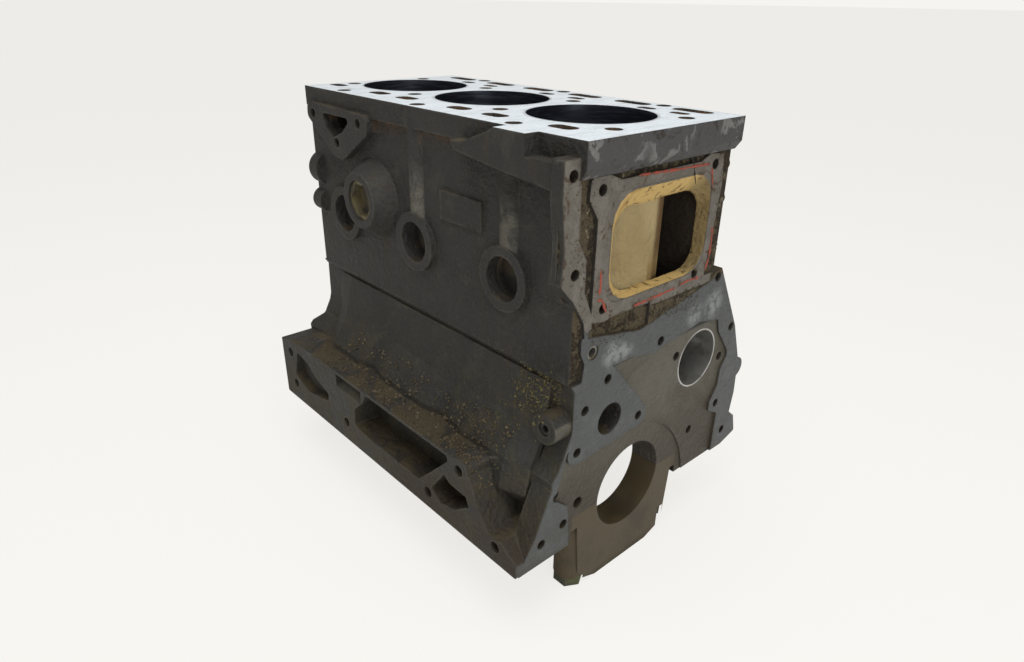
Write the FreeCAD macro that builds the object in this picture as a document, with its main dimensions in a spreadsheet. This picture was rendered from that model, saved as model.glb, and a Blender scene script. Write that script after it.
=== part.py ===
"""Cylinder block of a three-cylinder in-line diesel engine, with the pieces that stay in it when it is
stripped: dry liners, main bearing caps and their bolts, camshaft bushes, core plugs and oil plugs.

Frame: origin on the crankshaft axis at the timing face, +X out of the timing face, +Z up to the cylinder
head, -Y towards the side with the core plugs.  All sizes are millimetres.
"""
import FreeCAD
import Part
import Sketcher
import os
import re

V = FreeCAD.Vector
doc = FreeCAD.newDocument("engine_block")

# ---------------------------------------------------------------- driving sizes
SIZES = {
    # cylinders and deck
    "bore_pitch": 120.0,
    "first_bore": 75.5,          # timing face to the first cylinder axis
    "liner_bore": 104.0,
    "liner_wall": 1.45,
    "liner_length": 205.0,
    "barrel_wall": 10.25,        # cast wall round each liner
    "deck_height": 318.5,        # crankshaft axis to the cylinder head face
    "deck_plate": 18.0,
    "deck_left": 92.0,
    "deck_right": 93.0,
    "deck_overhang": 5.6,        # deck in front of the timing face
    "deck_lip": 26.5,            # height of the overhanging front of the deck
    "deck_bump": 12.0,           # small bosses beside the pump flange
    "pad_top": "=deck_height - 15.5",    # shelf of the pad beside the first cylinder
    # cast walls
    "rear_bore": 84.5,           # last cylinder axis to the rear face
    "rear_step": 24.6,           # rear face of the water jacket to the rear face
    "block_length": "=first_bore + 2 * bore_pitch + rear_bore",
    "jacket_length": "=block_length - rear_step",
    "jacket_left": 88.0,
    "jacket_wall": 8.0,
    "front_skin": 12.5,
    "front_setback": 3.0,        # rough front wall behind the machined flanges
    "jacket_floor": 142.0,
    "jacket_right_inner": 69.0,
    "step_height": 134.5,        # lower edge of the water jacket outside
    "side_wall": 84.0,           # crankcase wall below the step
    "skirt_half": 104.0,         # crankcase wall above the sump rail
    "skirt_wall": 9.0,
    "bulge_half": 120.0,         # widest part of the wall beside each crank throw
    "bulge_dip": 5.0,            # how much the wall falls in again beside each main bearing
    "tunnel_side": 126.0,        # crankcase wall outside the camshaft
    "crankcase_top": 128.0,
    "rail_half": 140.9,
    "rail_top": 52.0,
    "rail_lip": 3.0,             # wall between the long pocket and the top of the rail
    "right_rail_top": 30.0,
    "sump_drop": 24.0,           # crankshaft axis to the sump face
    # bearings
    "crank_bore": 84.2,
    "front_wall": 32.0,
    "rear_wall": 32.0,
    "web_thick": 24.0,
    "ring_recess": 3.0,
    "cap_seat_half": 74.0,       # register of each cap in the block
    "cap_half": 66.5,
    "cap_foot_half": 62.0,
    "cap_drop": 86.5,
    "cap_register": 15.0,
    "cap_bolt_half": 58.0,       # crankshaft axis to each cap bolt
    "cap_bolt_hole": 17.0,
    "cap_bolt_size": 16.0,
    "cap_bolt_boss": 28.0,
    "cap_bolt_seat": 58.0,       # crankshaft axis down to the face below the bolt head
    "pump_lug_seat": 76.5,       # the same on the long lug of the front cap
    "bolt_head_height": 10.0,
    "bolt_head_flats": 24.0,
    "bolt_grip": 62.0,           # thread in the block above the cap
    "thimble_size": 20.0,
    "thimble_height": 12.0,
    # camshaft
    "cam_side": 85.0,
    "cam_height": 101.0,
    "cam_bore": 58.0,
    "cam_bush_wall": 1.6,
    "cam_plug_thick": 6.0,
    # timing face
    "plate_thick": 22.0,
    "gasket_step": 2.0,
    "hub_side": 38.7,
    "hub_height": 86.9,
    "hub_bore": 29.0,
    "hub_depth": 24.0,
    "cover_hole": 8.5,
    "cover_hole_depth": 18.0,
    "dowel_size": 12.0,
    "dowel_bore": 8.0,
    "dowel_sink": 1.0,
    "pad_margin": 11.0,          # metal round the three holes of the hub pad
    # water pump flange
    "pump_low": 193.0,
    "pump_high": 279.0,
    "pump_left": 56.0,
    "pump_right": 68.0,
    "pump_corner": 14.0,
    "pump_slope": 19.0,          # how far the top and left of the opening run inwards
    "pump_hole": 8.5,
    "pump_top_half": 68.0,
    "pump_low_half": 58.5,
    # plugs
    "plug_height": 201.0,
    "plug_hole": 37.0,
    "plug_boss": 54.0,
    "plug_boss_stand": 5.0,
    "plug_cup": 8.0,
    "plug_cup_wall": 2.0,
    "plug_sink": 11.0,
    "port_back": 262.0,          # timing face to the axis of the large port
    "port_height": 227.0,
    "port_face": 52.0,
    "port_foot": 80.0,
    "port_stand": 19.0,
    "port_thread": 38.0,
    "port_plug_thick": 14.0,
    "port_plug_flats": 29.0,
    "gallery_back": 14.0,
    "gallery_height": 96.0,
    "gallery_boss": 26.0,
    "gallery_thread": 12.0,
    # side flange and strip
    "elbow_stand": 9.0,
    "column_size": 30.0,
    "column_stand": 4.5,
    "strip_thick": 12.0,
    "strip_left": 105.0,
    "fixing_hole": 9.0,
    "rail_hole": 10.5,
    "rail_hole_depth": 24.0,
    "pocket_depth": 28.0,
    "shallow_depth": 9.0,
    "small_depth": 18.0,
    "head_stud": 13.0,
    "head_stud_depth": 32.0,
    "stud_half": 43.0,           # cylinder axis to each inner row of head studs
    "water_hole": 14.0,
    "pushrod_width": 14.0,
    "pushrod_length": 37.0,
    "tappet_bore": 19.0,
    "tappet_shelf": 165.0,
    "pushrod_side": 80.0,
}

sheet = doc.addObject("Spreadsheet::Sheet", "sizes")
for row, (alias, value) in enumerate(SIZES.items(), start=1):
    sheet.set(f"A{row}", alias)
    sheet.set(f"B{row}", str(value))
    sheet.setAlias(f"B{row}", alias)
doc.recompute()

# Directions that a sketch or a round bar can face.
FACING = {
    "x": FreeCAD.Rotation(V(0, 1, 0), 90),
    "y": FreeCAD.Rotation(V(1, 0, 0), -90),
    "z": FreeCAD.Rotation(),
}
SKETCH_PLANE = {
    "x": FreeCAD.Rotation(V(1, 1, 1), 120),
    "y": FreeCAD.Rotation(V(1, 0, 0), 90),
    "z": FreeCAD.Rotation(),
}
SKETCH_NORMAL = {"x": V(1, 0, 0), "y": V(0, 1, 0), "z": V(0, 0, 1)}


def bind(obj, prop, formula):
    """Tie a property to the sheet: every size name in the formula becomes a reference to its cell."""
    text = re.sub(r"[a-z][a-z_]*", lambda m: f"sizes.{m[0]}" if m[0] in SIZES else m[0], str(formula))
    obj.setExpression(prop, text)


def place(obj, at):
    for axis, formula in zip("xyz", at):
        bind(obj, f"Placement.Base.{axis}", formula)


def box(name, low, high):
    """Block between two corners, each given by three formulas."""
    obj = doc.addObject("Part::Box", name)
    for prop, a, b in zip(("Length", "Width", "Height"), low, high):
        bind(obj, prop, f"({b}) - ({a})")
    place(obj, low)
    return obj


def rod(name, axis, at, size, length):
    """Round bar of a given diameter that starts at a point and runs along +axis."""
    obj = doc.addObject("Part::Cylinder", name)
    obj.Placement.Rotation = FACING[axis]
    bind(obj, "Radius", f"({size}) / 2")
    bind(obj, "Height", length)
    place(obj, at)
    return obj


def cone(name, axis, at, size, end_size, length):
    obj = doc.addObject("Part::Cone", name)
    obj.Placement.Rotation = FACING[axis]
    bind(obj, "Radius1", f"({size}) / 2")
    bind(obj, "Radius2", f"({end_size}) / 2")
    bind(obj, "Height", length)
    place(obj, at)
    return obj


def hexagon(name, axis, at, flats, length):
    obj = doc.addObject("Part::Prism", name)
    obj.Polygon = 6
    obj.Placement.Rotation = FACING[axis]
    bind(obj, "Circumradius", f"({flats}) / sqrt(3)")
    bind(obj, "Height", length)
    place(obj, at)
    return obj


def value_of(formula):
    """Value of a formula now, read back from a free cell of the sheet."""
    sheet.set("D1", f"={formula}")
    sheet.recompute()
    return float(sheet.get("D1"))


def sketch(name, axis, level, corners):
    """Closed outline on the plane where the given axis equals level."""
    obj = doc.addObject("Sketcher::SketchObject", name)
    obj.Placement.Rotation = SKETCH_PLANE[axis]
    guess = [(value_of(a), value_of(b)) for a, b in corners]
    count = len(corners)
    for i in range(count):
        start = V(*guess[i], 0)
        end = V(*guess[(i + 1) % count], 0)
        obj.addGeometry(Part.LineSegment(start, end), False)
    for i in range(count):
        obj.addConstraint(Sketcher.Constraint("Coincident", i, 2, (i + 1) % count, 1))
    for i, (a, b) in enumerate(corners):
        for kind, formula, value in (("DistanceX", a, guess[i][0]), ("DistanceY", b, guess[i][1])):
            index = obj.addConstraint(Sketcher.Constraint(kind, -1, 1, i, 1, value))
            if isinstance(formula, str):
                bind(obj, f"Constraints[{index}]", formula)
    bind(obj, f"Placement.Base.{axis}", level)
    return obj


def offset(name, source, distance, join):
    obj = doc.addObject("Part::Offset2D", name)
    obj.Source = source
    obj.Join = join
    bind(obj, "Value", distance)
    return obj


def outline(name, axis, level, corners, rounding=None):
    """Closed outline, with its outer corners rounded where asked."""
    face = sketch(f"{name}_sketch", axis, level, corners)
    if rounding is None:
        return face
    inner = offset(f"{name}_inner", face, f"-({rounding})", "Intersection")
    return offset(f"{name}_rounded", inner, rounding, "Arc")


def prism(name, axis, low, high, corners, rounding=None, margin=None):
    """Outline carried from low to high along the axis; a margin grows it round its corner points."""
    face = outline(name, axis, low, corners, rounding)
    if margin is not None:
        face = offset(f"{name}_grown", face, margin, "Arc")
    obj = doc.addObject("Part::Extrusion", name)
    obj.Base = face
    obj.DirMode = "Custom"
    obj.Dir = SKETCH_NORMAL[axis]
    obj.Solid = True
    bind(obj, "LengthFwd", f"({high}) - ({low})")
    return obj


def loft(name, sections):
    """Straight walls from each closed outline to the next."""
    obj = doc.addObject("Part::Loft", name)
    obj.Sections = sections
    obj.Solid = True
    obj.Ruled = True
    return obj


def fuse(name, pieces):
    obj = doc.addObject("Part::MultiFuse", name)
    obj.Shapes = pieces
    return obj


def cut(name, base, tools):
    obj = doc.addObject("Part::Cut", name)
    obj.Base = base
    obj.Tool = tools[0] if len(tools) == 1 else fuse(f"{name}_tools", tools)
    return obj


def common(name, base, tool):
    obj = doc.addObject("Part::Common", name)
    obj.Base = base
    obj.Tool = tool
    return obj


PARTS = []


def part(label, obj):
    """Register a finished sub-part: its label names its file."""
    obj.Label = label
    PARTS.append(obj)
    return obj


# ---------------------------------------------------------------- shared places
CYLINDERS = [f"-first_bore - {i} * bore_pitch" for i in range(3)]
MIDDLE_WEBS = [f"-first_bore - {i} * bore_pitch - bore_pitch / 2" for i in range(2)]
# Each main bearing: name, rear face and front face.
MAINS = [
    ("front", "-front_wall", "-ring_recess"),
    ("second", f"{MIDDLE_WEBS[0]} - web_thick / 2", f"{MIDDLE_WEBS[0]} + web_thick / 2"),
    ("third", f"{MIDDLE_WEBS[1]} - web_thick / 2", f"{MIDDLE_WEBS[1]} + web_thick / 2"),
    ("rear", "-block_length", "-block_length + rear_wall"),
]
LINER_OUTER = "liner_bore + 2 * liner_wall"
BARREL = f"{LINER_OUTER} + 2 * barrel_wall"

# Holes of the timing cover as (side, height); the first takes the hollow dowel.
COVER_HOLES = [(-66, 157), (21.5, 139.5), (98, 178.5), (135, 119), (129, 36), (150, -4.5),
               (-70.5, 107), (-97.5, 36), (-113.5, -3.5), (50.8, 114.1), (124.7, 89.7)]
HUB_PAD = [(-45.3, 126.8), (0.4, 74.3), (-76.7, 70.1)]
PUMP_HOLES = [("-pump_top_half", 282.5), ("pump_top_half", 282.5), ("pump_low_half", 191.5),
              ("-pump_low_half", 191.5)]
STRIP_HOLES = [(-98, 296), (-91.5, 226)]
ELBOW_HOLES = [(-354.4, 294.7), (-270.9, 294.7), (-311.4, 272)]
RAIL_HOLES = [(-380.4, 34), (-375.4, -4), (-262.4, -2), (-119.4, -7), (-73.4, 42), (-26.4, -8)]


# ---------------------------------------------------------------- cylinder block: outside of the casting
def upper_casting():
    """Water jacket walls, deck plate and the overhanging front of the deck."""
    jacket = box("jacket_outside", ("-jacket_length", "-jacket_left", "step_height"),
                 ("-front_setback", "deck_right", "deck_height"))
    deck = box("deck_slab", ("-jacket_length", "-deck_left", "deck_height - deck_plate"),
               ("deck_overhang", "deck_right", "deck_height"))
    front = box("deck_front", ("-front_setback", "-deck_left", "deck_height - deck_lip"),
                ("deck_overhang", "deck_right", "deck_height"))
    bumps = [rod(f"corner_bump_{i}", "y", (-11, "deck_right - 2", z), "deck_bump", 7)
             for i, z in enumerate((278, 249))]
    return [jacket, deck, front, *bumps]


def crank_bulge():
    """Crankcase wall swelling out beside each crank throw and falling in again at the main bearings."""
    stations = [("-block_length + 48", 0), ("-block_length + 74", 1)]
    for web in reversed(MIDDLE_WEBS):
        stations += [(f"{web} - web_thick", 1), (web, 0.6), (f"{web} + web_thick", 1)]
    stations += [("-front_wall - 14", 1), ("-plate_thick - 2", 0.4)]
    sections = []
    for i, (x, share) in enumerate(stations):
        reach = f"{share} * (bulge_half - skirt_half)"
        sections.append(outline(f"bulge_{i}", "x", x, [
            ("-side_wall + skirt_wall / 2", "crankcase_top"), (f"-side_wall - 0.15 * {reach}", "crankcase_top"),
            (f"-side_wall - 3 - 0.6 * {reach}", "crankcase_top - 42"), (f"-skirt_half + 6 - {reach}", "rail_top + 6"),
            (f"-skirt_half - {reach}", "rail_top - 22"), (f"-skirt_half + 4 - 0.5 * {reach}", "rail_top - 36"),
            ("-skirt_half + skirt_wall / 2", "rail_top - 38"), ("-side_wall + skirt_wall / 2", "rail_top + 30")]))
    return loft("crank_bulge", sections)


def lower_casting():
    """Crankcase walls: stepped in below the jacket, flared to the sump rails, bulged for the camshaft."""
    crankcase = prism("crankcase_outside", "x", "-block_length", "0", [
        ("-jacket_left", "step_height"), ("-side_wall", "step_height - 6"),
        ("-side_wall", 92), (-90, 68), ("-skirt_half", "rail_top"), ("-skirt_half", "-sump_drop"),
        ("skirt_half", "-sump_drop"), ("skirt_half", "rail_top"), ("tunnel_side - 8", 64),
        ("tunnel_side", 80), ("tunnel_side", 136), ("tunnel_side - 14", 160), ("deck_right", 186),
        (0, 186), (0, "step_height")])
    rail = prism("left_rail", "y", "-rail_half", "-skirt_half + 4", [
        ("-block_length", "-sump_drop"), ("-block_length", "rail_top - 6"), ("-block_length + 22", "rail_top - 2"),
        ("-block_length + 50", "rail_top"), (-80, "rail_top"), (-67, "rail_top - 4"), (-56, 36), (-44, 12),
        (-36, 1), (-20, 1), (0, -11), (0, "-sump_drop")], 2)
    right = box("right_rail", ("-block_length", "skirt_half - 4", "-sump_drop"),
                ("0", "rail_half", "right_rail_top"))
    lug = rod("rail_end_lug", "y", ("-73.4", "-rail_half", "42"), 24, "rail_half - skirt_half + 4")
    return [crankcase, crank_bulge(), rail, right, lug]


def front_faces():
    """Timing face, water pump flange, strip flange and the rough wall between them."""
    plate = prism("timing_plate", "x", "-plate_thick", "0", [
        (-76.7, 137), (-82.2, 94.5), (-95.8, 63), (-106.8, 39), (-121, 6), ("-rail_half", "-sump_drop"),
        (-96, "-sump_drop"), (-68, -14), (0, -14), (88, -14), (100, "-sump_drop"), (153, "-sump_drop"), (177, -17),
        (170.5, 4.3), (160, 12.8), (163, 36), (160.4, 74), (142.5, 118), (102.2, 187), (56.6, 172.5),
        (-9.6, 159.5), (-80, 173), (-80, 160), (-75, 150)], 2)
    lug = rod("timing_lug", "x", ("-plate_thick", 158, 66), 22, "plate_thick")
    ledge = box("timing_ledge", ("-plate_thick", "-side_wall + 6", "step_height"),
                ("-front_setback", "deck_right", "pump_low - 5"))
    pump = prism("pump_flange", "x", "-front_setback", "0", [
        (-80, 292), (-61, 292), (-48, 287), (48, 287), (60, 292), (78, 290), (82, 265), (75, 197), (74, 177),
        (58, 174), (44, 180), (-44, 182), (-56, 180), (-71, 183), (-71, 262), (-81, 277)], 3)
    strip = prism("strip_flange", "x", "-strip_thick", "0", [
        (-90, 307), ("-strip_left - 2", 307), ("-strip_left - 2", 280), (-103, 245), (-105, 220), (-98, 212),
        (-92, 206), (-79, 185), (-76, 168), (-68, 168), (-71, 190), (-80, 210), (-80, 234), (-89, 250)], 2)
    fairing = prism("strip_fairing", "z", 200, "pad_top", [
        (-44, "-jacket_left + 2"), (-44, "-jacket_left"), (-24, -93), (-10, "-strip_left"),
        ("-front_setback - 2", "-strip_left"), ("-front_setback - 2", "-jacket_left + 2")])
    return [plate, lug, ledge, pump, strip, fairing]


def side_features():
    """Pads, plug bosses, the large port, stud columns and the triangular outlet flange on the -Y side."""
    pad = prism("deck_pad", "y", "-strip_left", "-jacket_left + 2", [
        ("-first_bore - 47", "pad_top"), (-3, "pad_top"), (-3, "pad_top - 20"), (-24, "pad_top - 17"),
        (-70, "pad_top - 13"), ("-first_bore - 42", "pad_top - 7")])
    bulge = box("deck_bulge", (-73, "-strip_left", "pad_top - 7"), (-40, "-jacket_left", "deck_height"))
    chip = prism("pad_chip", "y", "-strip_left", "-jacket_left", [
        (-118, "pad_top - 3"), (-73, "pad_top - 3"), (-73, "deck_height"), (-80, "deck_height - 4")])
    bosses = [rod(f"plug_boss_{i}", "y", (x, "-jacket_left - plug_boss_stand", "plug_height"),
                  "plug_boss", "jacket_wall + plug_boss_stand + 8") for i, x in enumerate(CYLINDERS)]
    columns = [rod(f"stud_column_{i}", "z", (f"{x} + 2", "-jacket_left + column_size / 2 - column_stand",
                                             "plug_height + plug_boss / 2 - 3"),
                   "column_size", "deck_height - plug_height - plug_boss / 2 - 8")
               for i, x in enumerate(CYLINDERS[:2])]
    port = cone("port_boss", "y", ("-port_back", "-jacket_left - port_stand", "port_height"),
                "port_face", "port_foot", "port_stand + 4")
    elbow = prism("outlet_flange", "y", "-jacket_left - elbow_stand", "-jacket_left + 2", [
        (-364, 305.5), (-254, 303), (-256, 286), (-302, 257), (-318, 259), (-366, 291)], 7)
    gallery = rod("gallery_boss", "y", ("-gallery_back", "-side_wall - 18", "gallery_height"),
                  "gallery_boss", 24)
    housing = []
    for i, (y, z, size) in enumerate([(-80, 237, 34), (-84, 204, 24)]):
        housing.append(cone(f"rear_boss_end_{i}", "x", ("-block_length", y, z), size / 2, size, 7))
        housing.append(rod(f"rear_boss_{i}", "x", ("-block_length + 7", y, z), size, 33))
    return [pad, bulge, chip, *bosses, *columns, port, elbow, gallery, *housing]


# ---------------------------------------------------------------- cylinder block: inside of the casting
def jacket_space():
    """Water space round the barrels: a box core less the barrels."""
    core = box("jacket_core", ("-jacket_length + jacket_wall", "-jacket_left + jacket_wall", "jacket_floor"),
               ("-front_skin", "jacket_right_inner", "deck_height - deck_plate"))
    barrels = fuse("barrels", [rod(f"barrel_{i}", "z", (x, 0, "jacket_floor - 5"), BARREL,
                                   "deck_height - deck_plate - jacket_floor + 10")
                               for i, x in enumerate(CYLINDERS)])
    return cut("jacket_space", core, [barrels])


def crankcase_spaces():
    """One bay under each cylinder, between the main bearing walls."""
    bays = []
    fronts = ["-front_wall", f"{MIDDLE_WEBS[0]} - web_thick / 2", f"{MIDDLE_WEBS[1]} - web_thick / 2"]
    backs = [f"{MIDDLE_WEBS[0]} + web_thick / 2", f"{MIDDLE_WEBS[1]} + web_thick / 2",
             "-block_length + rear_wall"]
    for i, (back, front) in enumerate(zip(backs, fronts)):
        bays.append(prism(f"bay_{i}", "x", back, front, [
            ("-side_wall + skirt_wall", "crankcase_top"), ("-side_wall + skirt_wall", 90),
            (-81, 70), ("-skirt_half + skirt_wall", "rail_top"), ("-skirt_half + skirt_wall", "-sump_drop - 1"),
            ("skirt_half - skirt_wall", "-sump_drop - 1"), ("skirt_half - skirt_wall", "rail_top"),
            ("tunnel_side - skirt_wall - 6", 70), ("tunnel_side - skirt_wall", 82),
            ("tunnel_side - skirt_wall", "crankcase_top + 4"), (60, "crankcase_top + 4"),
            (54, "crankcase_top")]))
    skirts = [rod(f"barrel_foot_{i}", "z", (x, 0, "deck_height - liner_length"), BARREL, 30)
              for i, x in enumerate(CYLINDERS)]
    return bays, skirts


def bores():
    """Cylinder bores, crank tunnel, cam tunnel, tappet bores and pushrod slots."""
    tools = [rod(f"bore_{i}", "z", (x, 0, "deck_height - liner_length - 1"), LINER_OUTER, "liner_length + 2")
             for i, x in enumerate(CYLINDERS)]
    tools.append(rod("crank_tunnel", "x", ("-block_length - 1", 0, 0), "crank_bore", "block_length + 2"))
    tools.append(rod("cam_tunnel", "x", ("-block_length - 1", "cam_side", "cam_height"), "cam_bore",
                     "block_length + 2"))
    for i, x in enumerate(CYLINDERS):
        for j, offset in enumerate((-23, 40)):
            centre = f"{x} + {offset}"
            straight = "pushrod_length / 2 - pushrod_width / 2"
            tools.append(prism(f"pushrod_{i}{j}", "z", "tappet_shelf", "deck_height + 1", [
                (f"{centre} - pushrod_length / 2", "pushrod_side - pushrod_width / 2"),
                (f"{centre} + pushrod_length / 2", "pushrod_side - pushrod_width / 2"),
                (f"{centre} + pushrod_length / 2", "pushrod_side + pushrod_width / 2"),
                (f"{centre} - pushrod_length / 2", "pushrod_side + pushrod_width / 2")],
                "pushrod_width / 2 - 0.5"))
            tools.append(rod(f"tappet_{i}{j}", "z", (f"{centre} + {straight} / 2", "pushrod_side", "cam_height"),
                             "tappet_bore", "tappet_shelf - cam_height + 1"))
    return tools


# ---------------------------------------------------------------- cylinder block: machined faces and holes
def front_cuts():
    """Recessed inner face, ring face round the crankshaft, pump opening, hub bore and cover holes."""
    inner_corners = [
        (-44, 137), (-20, 137), (12, 131), (49, 136), (79, 140), (109, 134), (114.5, 119), (134.5, 94),
        (136, 87), (127.5, 75), (127, 57), (117, 41), (117.5, 31), (134, 22), (134, "-sump_drop - 1"),
        (-80, "-sump_drop - 1"), (-84, 20), (-100, 34), (-95, 50), (-88.5, 73.5), (-68, 94), (-60, 109),
        (-55, 127)]
    inner = prism("inner_face", "x", "-gasket_step", "1", inner_corners, 3)
    pad = prism("hub_pad", "x", "-ring_recess - 1", "2", HUB_PAD, margin="pad_margin")
    ring = common("ring_face", rod("ring_disc", "x", ("-ring_recess", -22, -40), 216, "ring_recess + 1"),
                  prism("ring_limit", "x", "-ring_recess", "1", inner_corners, 3))
    face = cut("inner_face_cut", fuse("inner_faces", [inner, ring]), [pad])
    mouth = outline("pump_mouth", "x", "0", [
        ("-pump_left", "pump_low"), ("pump_right", "pump_low"), ("pump_right", "pump_high"),
        ("-pump_left", "pump_high")], "pump_corner")
    throat = outline("pump_throat", "x", "-front_skin - 1", [
        ("-pump_left + pump_slope", "pump_low"), ("pump_right", "pump_low"), ("pump_right", "pump_high - pump_slope"),
        ("-pump_left + pump_slope", "pump_high - pump_slope")], "pump_corner + 6")
    opening = loft("pump_opening", [mouth, throat])
    hub = rod("hub_hole", "x", ("-hub_depth", "-hub_side", "hub_height"), "hub_bore", "hub_depth + 1")
    holes = [rod(f"cover_hole_{i}", "x", ("-cover_hole_depth", y, z), "cover_hole", "cover_hole_depth + 1")
             for i, (y, z) in enumerate(COVER_HOLES[1:] + HUB_PAD)]
    dowel = rod("timing_dowel_hole", "x", ("-cover_hole_depth", *COVER_HOLES[0]), "dowel_size",
                "cover_hole_depth + 1")
    pump = [rod(f"pump_hole_{i}", "x", ("-front_skin + 1", y, z), "pump_hole", "front_skin")
            for i, (y, z) in enumerate(PUMP_HOLES)]
    strip = [rod(f"strip_hole_{i}", "x", ("-strip_thick + 2", y, z), "pump_hole", "strip_thick")
             for i, (y, z) in enumerate(STRIP_HOLES)]
    oil = [rod(f"oil_way_{i}", "x", (-12, y, z), size, 13)
           for i, (y, z, size) in enumerate([(-68.5, 14.2, 10), (-88.4, 3.9, 8.5), (89, 20.5, 8.5)])]
    return [face, opening, hub, *holes, dowel, *pump, *strip, *oil]


def bearing_cuts():
    """Seats of the main bearing caps, cap bolt threads and the counterbores of their ring thimbles."""
    tools = []
    for name, back, front in MAINS:
        middle = f"(({back}) + ({front})) / 2"
        tools.append(box(f"cap_seat_{name}", (back, "-cap_seat_half", "-sump_drop - 1"),
                         (front, "cap_seat_half", "0")))
        for side in ("-", ""):
            at = (middle, f"{side}cap_bolt_half")
            tools.append(rod(f"cap_thread_{name}{side}", "z", (*at, 0), "cap_bolt_size", "bolt_grip"))
            tools.append(rod(f"thimble_seat_{name}{side}", "z", (*at, "-thimble_height / 2"), "thimble_size",
                             "thimble_height"))
    tools.append(box("front_cap_clearance", ("-ring_recess", "-cap_seat_half", "-sump_drop - 1"),
                     ("1", "cap_seat_half", "0")))
    return tools


def side_cuts():
    """Core plug holes, large port, outlet flange opening, sump rail pockets and tapped holes."""
    mouth = "-jacket_left - plug_boss_stand - 1"
    plugs = [rod(f"plug_hole_{i}", "y", (x, mouth, "plug_height"), "plug_hole", "plug_boss_stand + 20")
             for i, x in enumerate(CYLINDERS)]
    port = rod("port_hole", "y", ("-port_back", "-jacket_left - port_stand - 1", "port_height"),
               "port_thread", "port_stand + jacket_wall + 6")
    outlet = prism("outlet_opening", "y", "-jacket_left - elbow_stand - 1", "-jacket_left + jacket_wall + 2",
                   [(-337, 297.5), (-283, 297), (-300, 283), (-318, 276), (-330, 284)], 3)
    elbow = [rod(f"outlet_hole_{i}", "y", (x, "-jacket_left - elbow_stand - 1", z), "fixing_hole",
                 "elbow_stand + jacket_wall - 2") for i, (x, z) in enumerate(ELBOW_HOLES)]
    rail = [rod(f"rail_hole_{i}", "y", (x, "-rail_half - 1", z), "rail_hole", "rail_hole_depth")
            for i, (x, z) in enumerate(RAIL_HOLES)]
    face = "-rail_half - 1"
    shallow = prism("rear_pocket", "y", face, "-rail_half + shallow_depth", [
        (-364, 40), (-374, 8), (-345, -2), (-300, 6), (-297, 16), (-322, 24), (-340, 35)], 3)
    long = prism("long_pocket", "y", face, "-rail_half + pocket_depth", [
        (-245, 3), (-230, 0), (-133, 0), (-108, 24), (-88, "rail_top - 8"), (-90, "rail_top - rail_lip"),
        (-219, "rail_top - rail_lip"), (-226, 38), (-244, 22)], 1.5)
    scoop = prism("rail_scoop", "x", -277, -229, [
        (face, "rail_top - rail_lip"), ("-rail_half + 11", "rail_top - rail_lip"), (face, 33)])
    small = prism("front_pocket", "y", face, "-rail_half + small_depth", [
        (-114, 1), (-94, 27), (-86, 22), (-75, 21), (-64, 21), (-60, 12), (-79, -2), (-101, -8)], 2)
    gallery = rod("gallery_hole", "y", ("-gallery_back", "-side_wall - 19", "gallery_height"),
                  "gallery_thread", 30)
    return [*plugs, port, outlet, *elbow, *rail, shallow, long, scoop, small, gallery]


def rear_trim():
    """Back of the water jacket, and the crankcase wall curving in above the housing face."""
    jacket = box("jacket_back", ("-block_length - 10", -120, 150), ("-jacket_length", 60, "deck_height + 1"))
    corner = prism("crankcase_back", "y", -130, -72, [
        ("-block_length - 1", 56), ("-block_length", 56), ("-block_length + 12", 66), ("-block_length + 19", 85),
        ("-block_length + 21", "step_height + 2"), ("-jacket_length", 151), ("-block_length - 1", 151)])
    return [jacket, corner]


def deck_cuts():
    """Cylinder head studs and water ways."""
    rows = ["-15.5", *MIDDLE_WEBS, "-jacket_length + 13"]
    studs = [(x, f"{side}stud_half") for x in rows for side in ("-", "")]
    studs += [(f"{x} - 2", "-deck_left + 11") for x in CYLINDERS]
    studs += [(f"{x} + 6", "deck_right - 6.5") for x in CYLINDERS]
    water = [(-359, -63, 0.9), (-280, -65, 1), (-236, -65, 1), (-160, -66, 1), (-114, -67, 1), (-43, -65, 1),
             (-307, 62, 0.7), (-268, 60, 0.7), (-188, 62, 0.7), (-148, 60, 0.7), (-69, 62, 0.7),
             (-34, 60, 0.7)]
    tools = [rod(f"head_stud_{i}", "z", (x, y, "deck_height - head_stud_depth"), "head_stud",
                 "head_stud_depth + 1") for i, (x, y) in enumerate(studs)]
    for i, (x, y, share) in enumerate(water):
        length = f"water_hole * 1.75 * {share}"
        tools.append(prism(f"water_way_{i}", "z", "deck_height - deck_plate - 1", "deck_height + 1", [
            (f"{x} - {length} / 2", f"{y} - water_hole * {share} / 2"),
            (f"{x} + {length} / 2", f"{y} - water_hole * {share} / 2"),
            (f"{x} + {length} / 2", f"{y} + water_hole * {share} / 2"),
            (f"{x} - {length} / 2", f"{y} + water_hole * {share} / 2")], f"water_hole * {share} / 2 - 0.5"))
    return tools


def cylinder_block():
    outside = fuse("outside", upper_casting() + lower_casting() + front_faces() + side_features())
    bays, feet = crankcase_spaces()
    hollow = cut("hollow_casting", outside, [jacket_space(), *bays])
    walled = fuse("walled_casting", [hollow, *feet])
    trimmed = cut("machined_casting", walled, [*rear_trim(), *bores(), *bearing_cuts(), *front_cuts(),
                                               *side_cuts(), *deck_cuts()])
    return part("cylinder_block", trimmed)


# ---------------------------------------------------------------- pieces that stay in the block
def bolt_seat(name, side):
    """The front cap has one long lug, on the side of the core plugs."""
    return "pump_lug_seat" if name == "front" and side == "-" else "cap_bolt_seat"


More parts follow.
